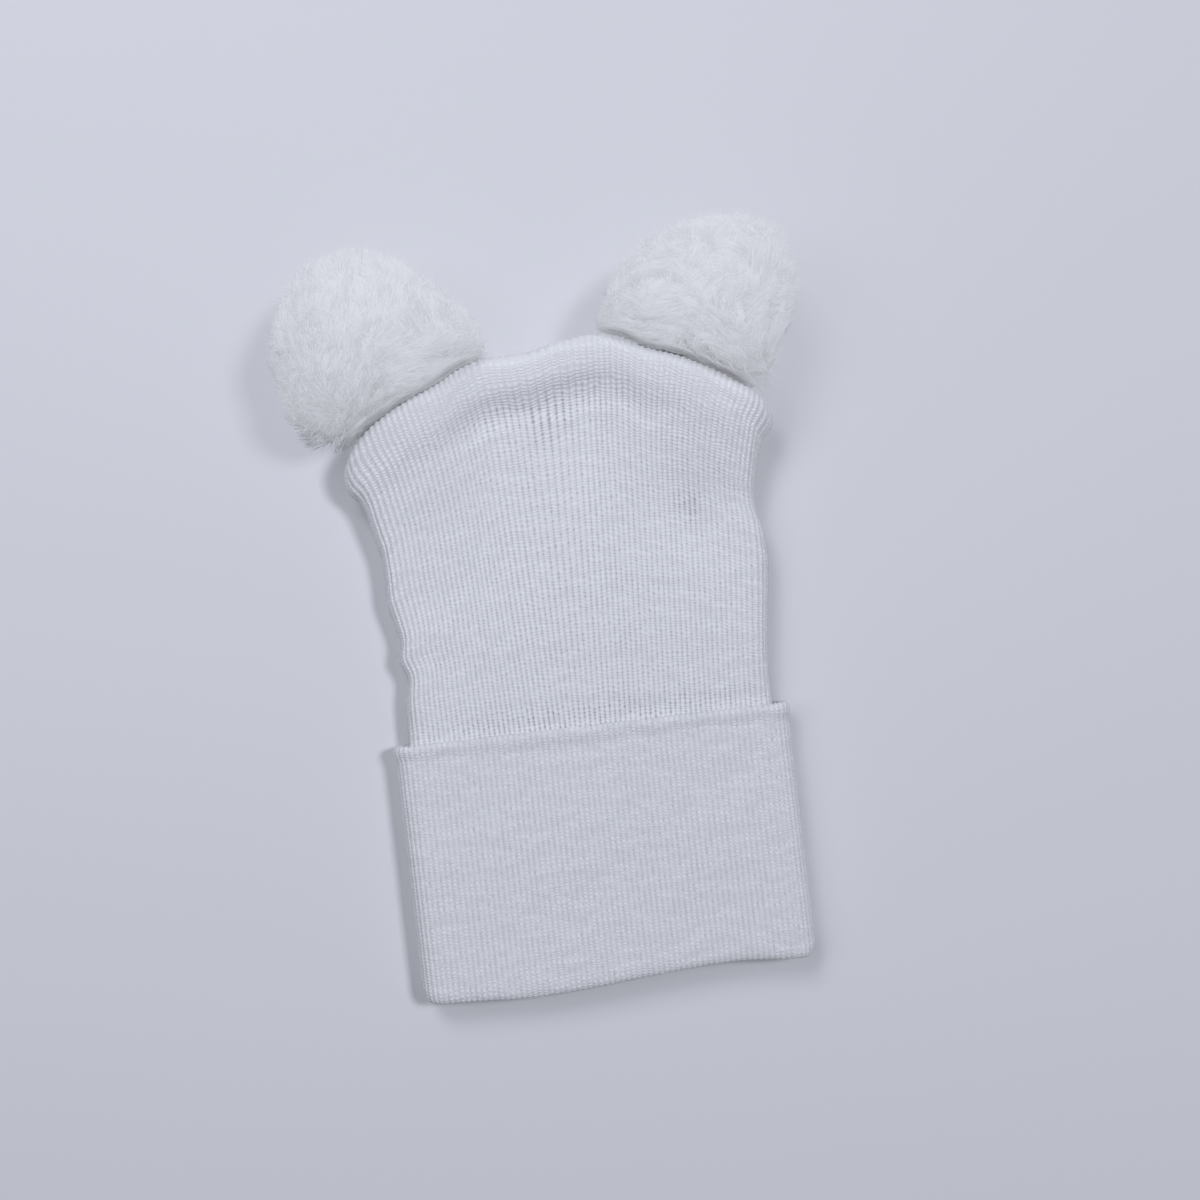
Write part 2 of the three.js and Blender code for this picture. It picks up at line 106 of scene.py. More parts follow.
# Side edges: share of the way up, then left and right as shares of half the tube
SIDE_EDGES = np.array([
    [-1.00, 1.000, 1.000], [-0.08, 1.000, 1.000], [0.00, 0.966, 0.963], [0.08, 0.959, 0.964],
    [0.15, 0.952, 0.968], [0.23, 0.929, 0.979], [0.30, 0.965, 0.992], [0.36, 0.946, 1.005],
    [0.43, 0.966, 1.017], [0.51, 0.992, 1.030], [0.60, 0.988, 1.025], [0.67, 0.990, 0.999],
    [0.72, 1.008, 0.994], [0.78, 1.027, 1.009], [0.82, 1.035, 1.020], [0.87, 1.060, 1.037],
    [0.91, 1.110, 1.055], [0.94, 1.126, 1.100], [0.97, 1.128, 1.125], [1.00, 1.116, 1.128],
]).T
# The even trend of the two sides, which the ribs follow further in: share of the way up, then both
SIDE_TREND = np.array([
    [-1.00, 1.000], [-0.08, 0.990], [0.00, 0.968], [0.45, 0.980], [0.72, 1.000], [0.88, 1.055],
    [1.00, 1.122],
]).T
SIDE_WAVE_REACH = 0.09  # share across, over which the waves of an edge fade
# Top edge: share across, then x as a share of half the tube and height as a share of the rise
TOP_EDGE = np.array([
    [0.00, -1.116, 0.728], [0.04, -1.058, 0.775], [0.09, -0.945, 0.825], [0.17, -0.768, 0.873],
    [0.25, -0.592, 0.910], [0.33, -0.434, 0.951], [0.38, -0.303, 0.968], [0.44, -0.135, 0.970],
    [0.50, 0.068, 0.990], [0.56, 0.235, 1.000], [0.62, 0.370, 0.988], [0.68, 0.508, 0.949],
    [0.75, 0.656, 0.920], [0.82, 0.803, 0.882], [0.90, 0.970, 0.830], [0.96, 1.078, 0.788],
    [1.00, 1.128, 0.740],
]).T
# How it lies: share of the way up, then puff, the cuff's wall under it, and the ears' lift
CROWN_LIE = np.array([
    [-0.20, 0.00, 1.00, 0.00], [0.00, 0.00, 1.00, 0.00], [0.08, 0.45, 0.45, 0.00],
    [0.16, 0.75, 0.10, 0.00], [0.25, 0.95, 0.00, 0.00], [0.45, 1.00, 0.00, 0.00],
    [0.60, 0.95, 0.00, 0.08], [0.75, 0.80, 0.00, 0.30], [0.88, 0.60, 0.00, 0.68],
    [1.00, 0.50, 0.00, 1.00],
]).T
LIFT_ACROSS = np.array([
    [0.00, 0.45], [0.10, 0.90], [0.20, 1.00], [0.35, 0.85], [0.52, 0.70], [0.68, 0.85],
    [0.82, 1.00], [0.91, 0.90], [1.00, 0.45],
]).T
TOP_VALLEY = np.array([
    [0.00, 0.00], [0.34, -0.12], [0.48, 0.12], [0.62, 0.72], [0.75, 1.00], [0.88, 0.80], [1.00, 0.45],
]).T
# Dents and puffs: share across and up, radii across and up as shares of half the tube, dip
FRONT_DENTS = (
    (0.79, 0.56, 0.22, 0.20, 0.50), (0.53, 0.76, 0.12, 0.30, 0.50), (0.20, 0.80, 0.30, 0.25, -0.45),
    (0.84, 0.80, 0.25, 0.22, -0.45), (0.08, 0.24, 0.20, 0.12, 0.35), (0.10, 0.42, 0.30, 0.14, 0.30),
    (0.94, 0.66, 0.25, 0.16, 0.40),
)


def smooth_between(keys, values, at):
    """A table's values at the given places, joined by a curve that doesn't overshoot."""
    step = np.diff(keys)
    rise = np.diff(values) / step
    slope = np.empty_like(values)
    product = rise[:-1] * rise[1:]
    total = rise[:-1] + rise[1:]
    safe = np.where(np.abs(total) > 1e-12, total, 1.0)
    slope[1:-1] = np.where(product > 0, 2 * product / safe, 0.0)
    slope[0], slope[-1] = rise[0], rise[-1]
    at = np.clip(at, keys[0], keys[-1])
    cell = np.clip(np.searchsorted(keys, at, side="right") - 1, 0, len(keys) - 2)
    t = (at - keys[cell]) / step[cell]
    start, end = values[cell], values[cell + 1]
    lead, trail = slope[cell] * step[cell], slope[cell + 1] * step[cell]
    return (
        start * (2 * t**3 - 3 * t**2 + 1) + lead * (t**3 - 2 * t**2 + t)
        + end * (3 * t**2 - 2 * t**3) + trail * (t**3 - t**2)
    )


def crown_plan(across, along):
    """Where a place on the flattened crown lies, seen from above."""
    left = -HALF_TUBE * smooth_between(SIDE_EDGES[0], SIDE_EDGES[1], along)
    right = HALF_TUBE * smooth_between(SIDE_EDGES[0], SIDE_EDGES[2], along)
    top_x = HALF_TUBE * smooth_between(TOP_EDGE[0], TOP_EDGE[1], across)
    top_y = CROWN_RISE * smooth_between(TOP_EDGE[0], TOP_EDGE[2], across)
    between_corners = HALF_TUBE * (TOP_EDGE[1, 0] + (TOP_EDGE[1, -1] - TOP_EDGE[1, 0]) * across)
    trend = HALF_TUBE * smooth_between(SIDE_TREND[0], SIDE_TREND[1], along)
    sides = trend * (2 * across - 1)
    sides = sides + (left + trend) * np.exp(-across / SIDE_WAVE_REACH)
    sides = sides + (right - trend) * np.exp(-(1 - across) / SIDE_WAVE_REACH)
    up = np.clip(along, 0.0, 1.0)
    patch = sides + (top_x - between_corners) * up
    return np.where(along > 0, patch, sides), along * top_y, right - left, top_y


def crown_skin(ribs_across, up, front, inset):
    """The crown's surface: ribs counted from the left edge, share up the knit, on one face."""
    half_ring = (TUBE_THICKNESS / 2 + SIDE_ROUNDING) / 2 * math.pi / 2
    roll = TOP_ROUNDING * math.pi / 2
    across, along = np.full_like(up, 0.5), up * 1.0
    for _ in range(4):
        _, _, width, top_y = crown_plan(across, along)
        from_top = (1 - up) * (top_y - TOP_ROUNDING + roll)
        over = np.clip(from_top / roll, 0, 1) * math.pi / 2
        in_roll = inset + (TOP_ROUNDING - inset) * (1 - np.cos(over))
        depth = np.where(from_top < roll, in_roll, TOP_ROUNDING + from_top - roll)
        along = 1 - depth / top_y
        run = width - 2 * SIDE_ROUNDING
        walked = ribs_across / RIBS * (run + 2 * half_ring)
        from_edge = np.minimum(walked, run + 2 * half_ring - walked)
        round_edge = np.clip(from_edge / half_ring, 0, 1) * math.pi / 2
        in_edge = inset + (SIDE_ROUNDING - inset) * (1 - np.cos(round_edge))
        inward = np.where(from_edge < half_ring, in_edge, SIDE_ROUNDING + from_edge - half_ring)
        across = np.where(walked < run / 2 + half_ring, inward / width, 1 - inward / width)
    x, y, _, _ = crown_plan(across, along)
    puff, seat, lift = (smooth_between(CROWN_LIE[0], CROWN_LIE[i], along) for i in (1, 2, 3))
    lift = EAR_LIFT * lift * smooth_between(LIFT_ACROSS[0], LIFT_ACROSS[1], across)
    thickness = TUBE_THICKNESS + (CROWN_PUFF - TUBE_THICKNESS) * puff
    flat = np.sin(round_edge) * np.sin(over)
    dip = smooth_between(TOP_VALLEY[0], TOP_VALLEY[1], np.clip(depth / TOP_ZONE, 0, 1))
    below = np.clip((depth - TOP_ZONE) / (top_y - TOP_ZONE), 0, 1)
    dip = dip * (1 - below) ** 5 * (0.15 + 0.95 * np.exp(-((across - VALLEY_MIDDLE) / VALLEY_REACH) ** 2))
    for dent_across, dent_up, wide, tall, dent in FRONT_DENTS:
        reach = ((across - dent_across) * 2 / wide) ** 2
        reach = reach + ((along - dent_up) * CROWN_RISE / HALF_TUBE / tall) ** 2
        dip = dip + dent * np.exp(-reach)
    dip = np.where((along > 0) & (front > 0), dip * VALLEY_DEPTH * flat, 0.0)
    half = (thickness / 2 - inset) * flat
    z = seat * CUFF_SEAT + lift + thickness / 2 + front * half - dip
    return np.stack([x, y, z], -1), across, along


def rib_swell(rib_place):
    """How far the knit stands out across each rib, from 0 in the gaps to 1 on the crests."""
    return 1 - np.abs(2 * (rib_place % 1) - 1) ** RIB_SHARPNESS


def round_the_tube(columns_per_rib):
    """Each column of knit round the tube: its place in ribs, ribs from the left edge, and its face."""
    rib_place = np.arange(2 * RIBS * columns_per_rib + 1) / columns_per_rib
    from_left = np.where(rib_place <= RIBS, rib_place, 2 * RIBS - rib_place)
    return rib_place, from_left, np.where(rib_place <= RIBS, 1.0, -1.0)


def grid_of_knit(name, columns, rows, uv_scale):
    """A flat grid made ready to be laid as knit: the mesh, and each point's column and row."""
    form = bmesh.new()
    form.loops.layers.uv.new("stitches")
    bmesh.ops.create_grid(form, x_segments=columns, y_segments=rows, size=1.0, calc_uvs=True)
    mesh = bpy.data.meshes.new(name)
    form.to_mesh(mesh)
    form.free()
    flat = np.empty(len(mesh.vertices) * 3)
    mesh.vertices.foreach_get("co", flat)
    flat = flat.reshape(-1, 3)
    uv = np.empty(len(mesh.loops) * 2)
    mesh.uv_layers["stitches"].data.foreach_get("uv", uv)
    mesh.uv_layers["stitches"].data.foreach_set("uv", (uv.reshape(-1, 2) * uv_scale).ravel())
    column = np.rint((flat[:, 0] + 1) / 2 * columns).astype(int)
    row = np.rint((flat[:, 1] + 1) / 2 * rows).astype(int)
    return mesh, column, row


def lay_knit(mesh, column, row, surface, rib_height, attributes=()):
    """Lays a grid on a surface given as rows by columns of points, with its ribs standing out."""
    around = np.roll(surface[:, :-1], -1, 1) - np.roll(surface[:, :-1], 1, 1)
    around = np.concatenate([around, around[:, :1]], 1)
    along = np.gradient(surface, axis=0)
    outward = np.cross(around, along)
    outward /= np.linalg.norm(outward, axis=2, keepdims=True) + 1e-9
    laid = surface + outward * rib_height[..., None]
    mesh.vertices.foreach_set("co", on_table(laid[row, column]).ravel())
    for attribute, values in attributes:
        layer = mesh.attributes.new(attribute, "FLOAT", "POINT")
        layer.data.foreach_set("value", values[row, column].astype(np.float32))
    form = bmesh.new()
    form.from_mesh(mesh)
    rim = [vertex for vertex in form.verts if vertex.is_boundary]
    bmesh.ops.remove_doubles(form, verts=rim, dist=0.00002)
    form.to_mesh(mesh)
    form.free()
    mesh.shade_smooth()


def show(name, mesh, material, node):
    """Puts a finished piece in the scene in place of the solid that it stands for."""
    mesh.materials.append(material)
    piece = bpy.data.objects.new(name, mesh)
    bpy.context.collection.objects.link(piece)
    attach(piece, "root")
    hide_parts(node)
    return piece


def add(nodes, kind, at, **settings):
    """One shader node with its settings."""
    node = nodes.new(kind)
    node.location = (at[0] * 180, at[1] * 160)
    for key, value in settings.items():
        setattr(node, key, value)
    return node


def sum_up(tree, operation, at, *inputs, clamp=False):
    """One maths node fed by sockets or numbers."""
    node = add(tree.nodes, "ShaderNodeMath", at, operation=operation, use_clamp=clamp)
    for socket, value in zip(node.inputs, inputs):
        if isinstance(value, (int, float)):
            socket.default_value = value
        else:
            tree.links.new(value, socket)
    return node.outputs[0]


def rib_stitches():
    """The group that draws the rib's stitches: relief, gaps between ribs painted as shade, and loose fibre
    with painted highlights.
    """
    group = bpy.data.node_groups.new("Rib stitches", "ShaderNodeTree")
    face = group.interface
    face.new_socket(name="Openness", in_out="INPUT", socket_type="NodeSocketFloat")
    face.new_socket(name="Relief", in_out="OUTPUT", socket_type="NodeSocketFloat")
    face.new_socket(name="Gap", in_out="OUTPUT", socket_type="NodeSocketFloat")
    face.new_socket(name="Fibre and painted highlight", in_out="OUTPUT", socket_type="NodeSocketFloat")
    ends = add(group.nodes, "NodeGroupInput", (-8, 0))
    out = add(group.nodes, "NodeGroupOutput", (8, 0))
    place = add(group.nodes, "ShaderNodeUVMap", (-8, 2), uv_map="stitches")
    split = add(group.nodes, "ShaderNodeSeparateXYZ", (-7, 2))
    group.links.new(place.outputs["UV"], split.inputs[0])
    rib = split.outputs["X"]
    # Uneven tension shifts the courses a little from rib to rib and over the cloth.
    drift = add(group.nodes, "ShaderNodeTexNoise", (-7, 1), noise_dimensions="2D")
    drift.inputs["Scale"].default_value = 0.22
    drift.inputs["Detail"].default_value = 1.0
    group.links.new(place.outputs["UV"], drift.inputs["Vector"])
    own = add(group.nodes, "ShaderNodeTexWhiteNoise", (-7, 0), noise_dimensions="1D")
    group.links.new(sum_up(group, "ROUND", (-8, 0), rib), own.inputs["W"])
    shift = sum_up(group, "MULTIPLY_ADD", (-6, 1), drift.outputs["Fac"], 3.0, split.outputs["Y"])
    course = sum_up(group, "MULTIPLY_ADD", (-5, 1), own.outputs["Value"], 0.35, shift)
    within = sum_up(group, "FRACT", (-6, 3), rib)
    from_crest = sum_up(group, "ABSOLUTE", (-4, 3), sum_up(group, "SUBTRACT", (-5, 3), within, 0.5))
    side = sum_up(group, "MULTIPLY", (-3, 3), from_crest, 2.0)
    # The two legs of each stitch slant up from the crest of the rib.
    slant = sum_up(group, "MULTIPLY_ADD", (-2, 3), side, -0.55, course)
    leg = sum_up(group, "COSINE", (0, 3), sum_up(group, "MULTIPLY", (-1, 3), slant, 2 * math.pi))
    crest = sum_up(group, "SUBTRACT", (-1, 4), 1.0, sum_up(group, "POWER", (-2, 4), side, 2.0))
    stitched = sum_up(group, "MULTIPLY", (2, 3), leg, crest)
    # Between the ribs lies a groove of painted shade, and a small hole, also painted dark as shade, opens
    # in it once in each course.
    valley = sum_up(group, "POWER", (-1, 1), side, 2.2)
    beat = sum_up(group, "COSINE", (-1, 0), sum_up(group, "MULTIPLY", (-2, 0), course, 2 * math.pi))
    opening = sum_up(group, "MULTIPLY_ADD", (0, 0), beat, -0.5, 0.5)
    hole = sum_up(group, "MULTIPLY_ADD", (1, 0), sum_up(group, "POWER", (0, 1), opening, 1.5), 0.58, 0.42)
    cell = add(group.nodes, "ShaderNodeCombineXYZ", (-1, -1))
    group.links.new(sum_up(group, "ROUND", (-2, -1), rib), cell.inputs[0])
    group.links.new(sum_up(group, "FLOOR", (-2, -2), course), cell.inputs[1])
    chance = add(group.nodes, "ShaderNodeTexWhiteNoise", (0, -1), noise_dimensions="2D")
    group.links.new(cell.outputs[0], chance.inputs["Vector"])
    uneven = sum_up(group, "MULTIPLY_ADD", (1, -1), chance.outputs["Value"], 0.6, 0.6)
    gap = sum_up(group, "MULTIPLY", (2, 0), sum_up(group, "MULTIPLY", (2, 1), valley, hole), uneven)
    gap = sum_up(group, "MULTIPLY", (3, 0), gap, ends.outputs["Openness"], clamp=True)
    body = add(group.nodes, "ShaderNodeTexCoord", (0, -3))
    fibre = add(group.nodes, "ShaderNodeTexNoise", (1, -3))
    fibre.inputs["Scale"].default_value = 2600.0
    fibre.inputs["Detail"].default_value = 3.0
    group.links.new(body.outputs["Object"], fibre.inputs["Vector"])
    relief = sum_up(group, "MULTIPLY_ADD", (4, 2), stitched, 0.40, 0.5)
    relief = sum_up(group, "SUBTRACT", (5, 2), relief, gap)
    relief = sum_up(group, "MULTIPLY_ADD", (6, 2), fibre.outputs["Fac"], 0.3, relief)
    group.links.new(relief, out.inputs["Relief"])
    group.links.new(gap, out.inputs["Gap"])
    # Painted highlight: the stitch legs' crests are made lighter, over the fibre's random tone.
    lit = sum_up(group, "MULTIPLY_ADD", (6, 0), stitched, 0.24, fibre.outputs["Fac"], clamp=True)
    group.links.new(lit, out.inputs["Fibre and painted highlight"])
    return group


STITCHES = rib_stitches()


def knit_material(name, yarn, shade, depth, openness):
    """White rib knit: the yarn's colour with painted highlights on the stitch legs, the painted shade in
    its gaps, and how deep its stitches stand.
    """
    material = bpy.data.materials.new(name)
    material.use_nodes = True
    tree = material.node_tree
    shader = tree.nodes["Principled BSDF"]
    stitches = add(tree.nodes, "ShaderNodeGroup", (-5, 0), node_tree=STITCHES)
    stretch_and_shade = add(tree.nodes, "ShaderNodeAttribute", (-7, 0), attribute_name="stretch_and_shade")
    open_here = sum_up(tree, "ADD", (-6, 0), stretch_and_shade.outputs["Fac"], openness)
    tree.links.new(open_here, stitches.inputs["Openness"])
    # The yarn's random fibre tone, with a painted highlight on the crests of the stitch legs.
    lint_and_highlight = add(tree.nodes, "ShaderNodeMix", (-3, 2), data_type="RGBA")
    lint_and_highlight.inputs["A"].default_value = (*[c * 0.90 for c in yarn], 1)
    lint_and_highlight.inputs["B"].default_value = (*yarn, 1)
    tree.links.new(stitches.outputs["Fibre and painted highlight"], lint_and_highlight.inputs["Factor"])
    # Painted shade: the grooves and holes between the ribs are darkened towards the gap shade.
    shaded = add(tree.nodes, "ShaderNodeMix", (-2, 1), data_type="RGBA")
    shaded.inputs["B"].default_value = (*shade, 1)
    tree.links.new(lint_and_highlight.outputs["Result"], shaded.inputs["A"])
    tree.links.new(stitches.outputs["Gap"], shaded.inputs["Factor"])
    tree.links.new(shaded.outputs["Result"], shader.inputs["Base Color"])
    bump = add(tree.nodes, "ShaderNodeBump", (-2, -2))
    bump.inputs["Strength"].default_value = 1.0
    bump.inputs["Distance"].default_value = depth * MM
    tree.links.new(stitches.outputs["Relief"], bump.inputs["Height"])
    tree.links.new(bump.outputs["Normal"], shader.inputs["Normal"])
    shader.inputs["Roughness"].default_value = 0.92
    shader.inputs["Specular IOR Level"].default_value = 0.25
    shader.inputs["Sheen Weight"].default_value = 0.25
    shader.inputs["Sheen Roughness"].default_value = 0.5
    return material


KNIT_WHITE = (0.97, 0.97, 0.97)
GAP_SHADE = (0.42, 0.42, 0.435)
crown_knit = knit_material("crown knit", KNIT_WHITE, GAP_SHADE, 0.20, 0.66)

crown_rows = HIDDEN_COURSES + CROWN_COURSES
columns = 2 * RIBS * COLUMNS_PER_RIB
mesh, column, row = grid_of_knit("crown", columns, crown_rows, (2 * RIBS, crown_rows))
rib_place, from_left, front = round_the_tube(COLUMNS_PER_RIB)
courses = (np.arange(crown_rows + 1) - HIDDEN_COURSES) / CROWN_COURSES
ribs_across, up = np.meshgrid(from_left, courses)
surface, across, along = crown_skin(ribs_across, up, front[None, :] + 0 * up, CROWN_INSET)
rib_round = (rib_swell(rib_place) - 0.5) * RIB_HEIGHT
rib_round = rib_round[None, :] + 0 * up
# The gaps open, and with them their painted shade, where the knit is stretched: over the cuff, in
# the gathers under the roll, in a spot of open stitches on the right, and a little in the middle; they
# close near the top. The broad patch under the roll is there to deepen the valley's painted shade.
patches = (  # amount, share across, its spread, share up, its spread
    (0.42, 0.42, 0.40, 0.02, 0.045), (0.25, 0.80, 0.22, 0.03, 0.04), (0.60, 0.80, 0.035, 0.60, 0.050),
    (0.60, 0.47, 0.040, 0.81, 0.050), (0.32, 0.46, 0.22, 0.85, 0.04), (0.10, 0.50, 0.28, 0.36, 0.22),
    (-0.45, 0.50, 0.80, 0.97, 0.09),
)
stretch_and_shade = 0 * up
for amount, at_across, across_spread, at_up, up_spread in patches:
    stretch_and_shade += amount * np.exp(
        -((across - at_across) / across_spread) ** 2 - ((along - at_up) / up_spread) ** 2)
lay_knit(mesh, column, row, surface[:, ::-1], rib_round[:, ::-1], [("stretch_and_shade", stretch_and_shade[:, ::-1])])
show("crown", mesh, crown_knit, "crown")

# Cuff.
# The same tube turned up into a deep band of closer, unstretched knit. Its free edge is a doubled
# fold that makes a small soft roll, and at the face opening the band turns under in one round bend.
CUFF_HEIGHT = 80.0
CUFF_ROLL = 3.4
ROLL_SWELL = 0.7
HEM_TURN = 4.0
HEM_CORNER = 4.5
CUFF_RIB_HEIGHT = 0.34
CUFF_RIB_SINK = 0.22
CUFF_THICKNESS = TUBE_THICKNESS + 2 * CUFF_SEAT
CUFF_HALF_WIDTH = HALF_TUBE + CUFF_SEAT
HEM_INSET = CUFF_SEAT + KNIT_WALL
CUFF_COURSES = 84
HEM_WAVE = np.array([
    [0.00, 0.00], [0.12, 0.12], [0.28, 0.35], [0.45, 0.10], [0.60, -0.30], [0.80, -0.62],
    [0.92, -0.35], [1.00, -0.20],
]).T
# Soft hollows in its face: middle across and up, reach across and up, dip
CUFF_HOLLOWS = (
    (38.0, -22.0, 14.0, 6.0, 0.55), (-38.0, -20.0, 18.0, 8.0, 0.30), (4.0, -48.0, 24.0, 9.0, 0.35),
    (34.0, -58.0, 16.0, 9.0, 0.35), (-36.0, -62.0, 16.0, 7.0, 0.30),
)


def hem_drop(x, y):
    """How far the wavy hem carries the knit down at a place inside the cuff, less at its round corners."""
    fade = np.clip((y + CUFF_ROLL) / (HEM_TURN - CUFF_HEIGHT), 0, 1)
    across = (x / CUFF_HALF_WIDTH + 1) / 2
    corner = np.clip(1 - (CUFF_HALF_WIDTH - np.abs(x)) / HEM_CORNER, 0, 1)
    rounding = HEM_CORNER * (1 - np.sqrt(1 - corner**2)) * 0.6
    return smooth_between(HEM_WAVE[0], HEM_WAVE[1], across) * HEM_TURN * fade**4 - rounding * fade**8


# The band's section from the inside of the turn, round it, up the outside, over the roll and down
turn = np.linspace(0, math.pi, 11)
hem = np.stack([HEM_INSET / 2 * (1 + np.cos(turn)), HEM_TURN * (1 - np.sin(turn)) - CUFF_HEIGHT], -1)
wall_y = np.linspace(HEM_TURN - CUFF_HEIGHT, -1.6 * CUFF_ROLL, CUFF_COURSES - 12)[1:]
wall = np.stack([0 * wall_y, wall_y], -1)
fold = np.array([
    [-0.12, -1.35], [-0.45, -1.10], [-0.85, -0.82], [-1.00, -0.55], [-0.90, -0.30], [-0.45, -0.10],
    [0.40, 0.00], [1.50, -0.04], [2.30, -0.30],
]) * [ROLL_SWELL, CUFF_ROLL]
inner_y = np.linspace(-CUFF_ROLL, HEM_TURN - CUFF_HEIGHT, 5)
inner = np.stack([0 * inner_y + CUFF_WALL - 0.05, inner_y], -1)
ledge = np.array([[HEM_INSET, HEM_TURN - CUFF_HEIGHT]])
section = np.concatenate([ledge, hem[1:], wall, fold, inner, ledge])
mesh, column, row = grid_of_knit("cuff", columns, len(section) - 1, (2 * RIBS, len(section) - 1))
rib_place, from_left, face_side = round_the_tube(COLUMNS_PER_RIB)
cuff_run = 2 * CUFF_HALF_WIDTH - CUFF_THICKNESS
end_walk = math.pi / 2 * CUFF_THICKNESS / 2
walked = from_left / RIBS * (cuff_run + 2 * end_walk)
at_left = np.clip(walked / end_walk, 0, 1) * math.pi / 2
at_right = np.clip((cuff_run + 2 * end_walk - walked) / end_walk, 0, 1) * math.pi / 2
inset = section[:, :1] * 1.0
inset = np.where(face_side[None, :] < 0, np.maximum(inset, 0.0), inset)
radius = CUFF_THICKNESS / 2 - inset
flat_x = np.clip(walked - end_walk, 0, cuff_run) - cuff_run / 2
x = flat_x[None, :] + radius * (np.cos(at_right) - np.cos(at_left))[None, :]
z = CUFF_THICKNESS / 2 + face_side[None, :] * radius * (np.sin(at_left) * np.sin(at_right))[None, :]
y = section[:, 1:] - hem_drop(x, section[:, 1:])
for hollow_x, hollow_y, wide, tall, dip in CUFF_HOLLOWS:
    reach = ((x - hollow_x) / wide) ** 2 + ((y - hollow_y - 0.4 * (x - hollow_x)) / tall) ** 2
    z = z - dip * np.exp(-reach) * np.clip(z / CUFF_THICKNESS * 2 - 1, 0, 1)
surface = np.stack([x, y, z], -1)
out_there = np.clip((np.arange(len(section)) - 1) / 3, 0, 1) * (np.arange(len(section)) < len(section) - 7)
rib_round = rib_swell(rib_place) * CUFF_RIB_HEIGHT - CUFF_RIB_SINK
rib_round = rib_round[None, :] * out_there[:, None]
rib_round = np.where(face_side[None, :] < 0, np.minimum(rib_round, 0.0), rib_round)
lay_knit(mesh, column, row, surface, rib_round, [("stretch_and_shade", 0 * rib_round)])
cuff_knit = knit_material("cuff knit", KNIT_WHITE, GAP_SHADE, 0.24, 0.63)
show("cuff", mesh, cuff_knit, "cuff")

# Lining.
# The same knit seen from inside: the smooth inner face of the tube's second layer, from the turn at
# the face opening up to the closed top.
LINING_COURSES = 60
LINING_START = -1.0  # share up the knit, at the turn
mesh, column, row = grid_of_knit("crown_lining", 2 * RIBS, LINING_COURSES, (2 * RIBS, 2 * CROWN_COURSES))
_, from_left, front = round_the_tube(1)
courses = LINING_START + (1 - LINING_START) * np.arange(LINING_COURSES + 1) / LINING_COURSES
ribs_across, up = np.meshgrid(from_left, courses)
surface, _, _ = crown_skin(ribs_across, up, front[None, :] + 0 * up, KNIT_WALL)
# Inside the cuff the tube runs straight down to the turn.
inside = up < 0
surface[..., 1] = np.where(inside, up * (CUFF_HEIGHT - HEM_TURN), surface[..., 1])
no_ribs = np.zeros(up.shape)
lay_knit(mesh, column, row, surface, no_ribs, [("stretch_and_shade", no_ribs)])
show("crown_lining", mesh, crown_knit, "crown")

# Pompom ears.
# Two balls of brushed white yarn, bound tight at the corners, so that the cut ends spread out behind
# the crown's slanted edges. Each is a soft heart packed with fine locks, and with loose fibres over them.
EAR_RADIUS = 29.0
EAR_HEIGHT = 48.0
EAR_STAND_OFF = 22.5
EAR_FULLNESS = 0.85  # below 1, fuller towards the top than a ball
CROWN_EDGE_HEIGHT = 20.0  # over the table, where the pompoms meet it
EAR_SHOULDER = 13.0  # over which the pompom rises from the crown's edge
SHOULDER_DROP = 0.65
HEART_DEPTH = 3.0
HEART_ROOM = 0.5  # from the crown's edge
LOCKS_PER_PART = 8600
LOCK_ROOT_DEPTH = 3.2
LOCK_TIP_DEPTH = -0.7
LOCK_WIDTHS = (0.10, 0.19)
LOCK_LENGTH_SPREAD = 0.45
RAGGED_CLUMP = 0.75
FIBRES_PER_EAR = 5200
FIBRE_ROOT_DEPTH = 2.5
FIBRE_LENGTHS = (2.4, 5.4)
FIBRE_WIDTHS = (0.04, 0.08)
STRAND_FLATNESS = 0.5
STRAND_ROOM = 0.15  # from the crown's edge
# How the pile takes the light: drawn up towards the sky, less so below the pompom's middle, with a
# share of each strand's own facing. Tufts are given painted shade round their borders and on the ragged
# side.
PILE_UPWARD = 0.58
UPWARD_FADE = 0.7
OWN_FACING = 0.34
TONE_SPREAD = 0.20
TUFT_SHADE = 0.35
RAGGED_SHADE = 0.5
# Outline from above: degrees from the right, then the reach as a share of the ear's radius
LEFT_OUTLINE = np.array([
    [0, 1.130], [10, 1.030], [24, 0.900], [48, 0.840], [70, 0.880], [95, 0.955], [125, 0.985],
    [155, 0.990], [178, 1.055], [200, 1.055], [222, 1.210], [238, 1.220], [252, 1.060],
    [275, 0.780], [297, 0.740], [320, 0.820], [334, 1.020], [347, 1.190], [360, 1.130],
]).T
RIGHT_OUTLINE = np.array([
    [0, 0.965], [20, 1.000], [34, 1.040], [48, 1.015], [62, 0.940], [78, 0.855], [104, 0.810],
    [137, 0.855], [160, 0.955], [176, 1.065], [188, 1.130], [198, 0.940], [215, 0.740],
    [239, 0.660], [265, 0.720], [286, 0.960], [302, 1.100], [314, 0.965], [326, 0.890],
    [342, 0.925], [360, 0.965],
]).T
# Corners of the grid of places that are measured round the top of the crown
FIELD_LOW = np.array([-95.0, 55.0])
FIELD_HIGH = np.array([95.0, 160.0])


